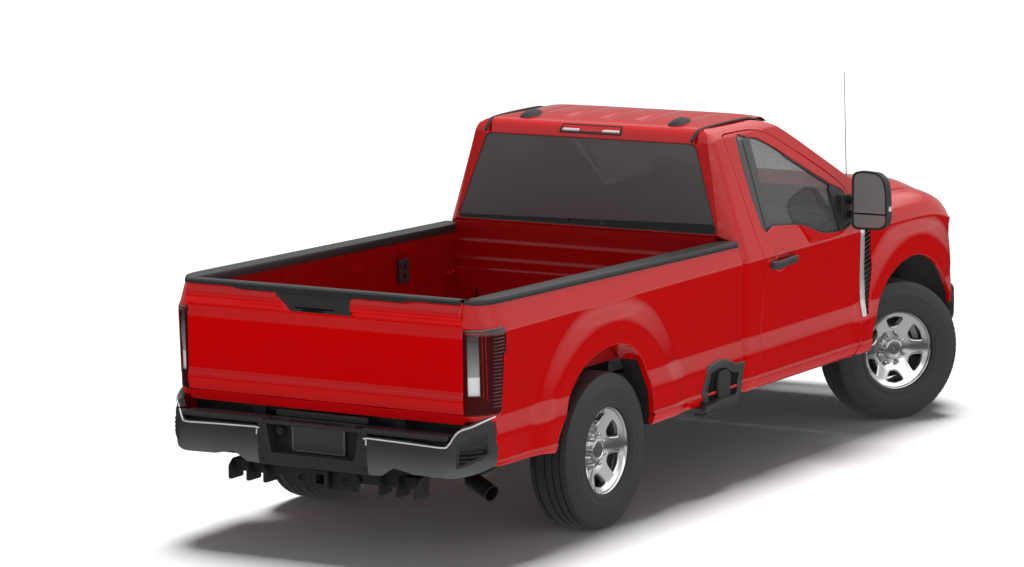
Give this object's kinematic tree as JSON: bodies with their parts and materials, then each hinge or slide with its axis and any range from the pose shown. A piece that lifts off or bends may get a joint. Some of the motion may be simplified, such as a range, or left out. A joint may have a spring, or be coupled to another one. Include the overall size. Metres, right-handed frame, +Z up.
{
  "type": "pickup truck",
  "caption": "Regular-cab pickup truck with a long open load bed, hinged doors, hood and tailgate, steered front wheels and a rear towing receiver.",
  "frame": {"origin": "on the ground below the middle of the overall length, on the centreline", "axes": "+X forward, +Y left, +Z up"},
  "size_m": [5.888, 2.69, 2.14],
  "materials": {
    "red_paint": "gloss",
    "black_chassis": "satin",
    "cast_parts": "rough cast",
    "exhaust_steel": "dull",
    "chrome_wheel": "polished",
    "tyre_rubber": "matt",
    "clear_glass": "polished",
    "dark_glass": "polished, tinted",
    "black_plastic": "fine grain",
    "red_lens": "polished, smoked",
    "clear_lens": "polished",
    "bumper_paint": "satin",
    "chrome_trim": "polished",
    "seat_cloth": "woven"
  },
  "bodies": {
    "root": {"cab_shell": "red_paint", "windscreen": "clear_glass", "rear_window": "dark_glass", "wing_left": "red_paint", "wing_right": "red_paint", "radiator_support": "black_chassis", "grille": "black_plastic", "headlamps": "clear_lens", "front_bumper": "chrome_trim", "bed_box": "red_paint", "bed_side_left": "red_paint", "bed_side_right": "red_paint", "bed_rail_caps": "black_plastic", "tail_lamps": "red_lens", "rear_bumper": "bumper_paint", "bumper_pads": "black_plastic", "hitch": "black_chassis", "frame_rails": "black_chassis", "engine_block": "cast_parts", "driveline": "cast_parts", "front_axle": "cast_parts", "rear_axle": "cast_parts", "suspension": "black_chassis", "exhaust": "exhaust_steel", "fuel_tank": "black_plastic", "spare_wheel": "tyre_rubber", "dashboard": "black_plastic", "bench_seat": "seat_cloth", "steering_wheel": "black_plastic", "roof_lamp": "red_lens", "roof_pods": "black_plastic", "aerial": "black_plastic", "wing_vents": "chrome_trim", "bed_steps": "black_plastic"},
    "hood": {"hood": "red_paint"},
    "door_left": {"door_left": "red_paint", "door_glass_left": "clear_glass", "mirror_left": "black_plastic"},
    "door_right": {"door_right": "red_paint", "door_glass_right": "clear_glass", "mirror_right": "black_plastic"},
    "tailgate": {"tailgate": "red_paint", "tailgate_cap": "black_plastic"},
    "knuckle_left": {"knuckle_left": "cast_parts"},
    "knuckle_right": {"knuckle_right": "cast_parts"},
    "wheel_front_left": {"wheel_front_left": "chrome_wheel", "tyre_front_left": "tyre_rubber"},
    "wheel_front_right": {"wheel_front_right": "chrome_wheel", "tyre_front_right": "tyre_rubber"},
    "wheel_rear_left": {"wheel_rear_left": "chrome_wheel", "tyre_rear_left": "tyre_rubber"},
    "wheel_rear_right": {"wheel_rear_right": "chrome_wheel", "tyre_rear_right": "tyre_rubber"}
  },
  "joints": [
    {"name": "steer_left", "type": "hinge", "parent": "root", "child": "knuckle_left", "pos_m": [2.014, 0.77, 0.4215], "axis": [0, 0, 1], "range_deg": [-6, 68]},
    {"name": "wheel_front_left_spin", "type": "hinge", "parent": "knuckle_left", "child": "wheel_front_left", "pos_m": [2.06396, 0.85315, 0.4215], "axis": [0.515, 0.8572, 0], "continuous": true},
    {"name": "wheel_rear_left_spin", "type": "hinge", "parent": "root", "child": "wheel_rear_left", "pos_m": [-1.583, 0.853, 0.4215], "axis": [0, 1, 0], "continuous": true},
    {"name": "steer_right", "type": "hinge", "parent": "root", "child": "knuckle_right", "pos_m": [2.014, -0.77, 0.4215], "axis": [0, 0, 1], "range_deg": [-6, 68]},
    {"name": "wheel_front_right_spin", "type": "hinge", "parent": "knuckle_right", "child": "wheel_front_right", "pos_m": [1.96404, -0.85315, 0.4215], "axis": [0.515, 0.8572, 0], "continuous": true},
    {"name": "wheel_rear_right_spin", "type": "hinge", "parent": "root", "child": "wheel_rear_right", "pos_m": [-1.583, -0.853, 0.4215], "axis": [0, 1, 0], "continuous": true},
    {"name": "door_left_hinge", "type": "hinge", "parent": "root", "child": "door_left", "pos_m": [1.292, 1.004, 0.9], "axis": [0, 0, -1], "range_deg": [0, 62]},
    {"name": "door_right_hinge", "type": "hinge", "parent": "root", "child": "door_right", "pos_m": [1.292, -1.004, 0.9], "axis": [0, 0, 1], "range_deg": [0, 62]},
    {"name": "hood_hinge", "type": "hinge", "parent": "root", "child": "hood", "pos_m": [1.58, 0, 1.404], "axis": [0, -1, 0], "range_deg": [0, 48]},
    {"name": "tailgate_hinge", "type": "hinge", "parent": "root", "child": "tailgate", "pos_m": [-2.79, 0, 0.84], "axis": [0, -1, 0], "range_deg": [0, 90]}
  ],
  "couplings": [
    {"joint": "steer_right", "follows": "steer_left", "ratio": 1}
  ]
}
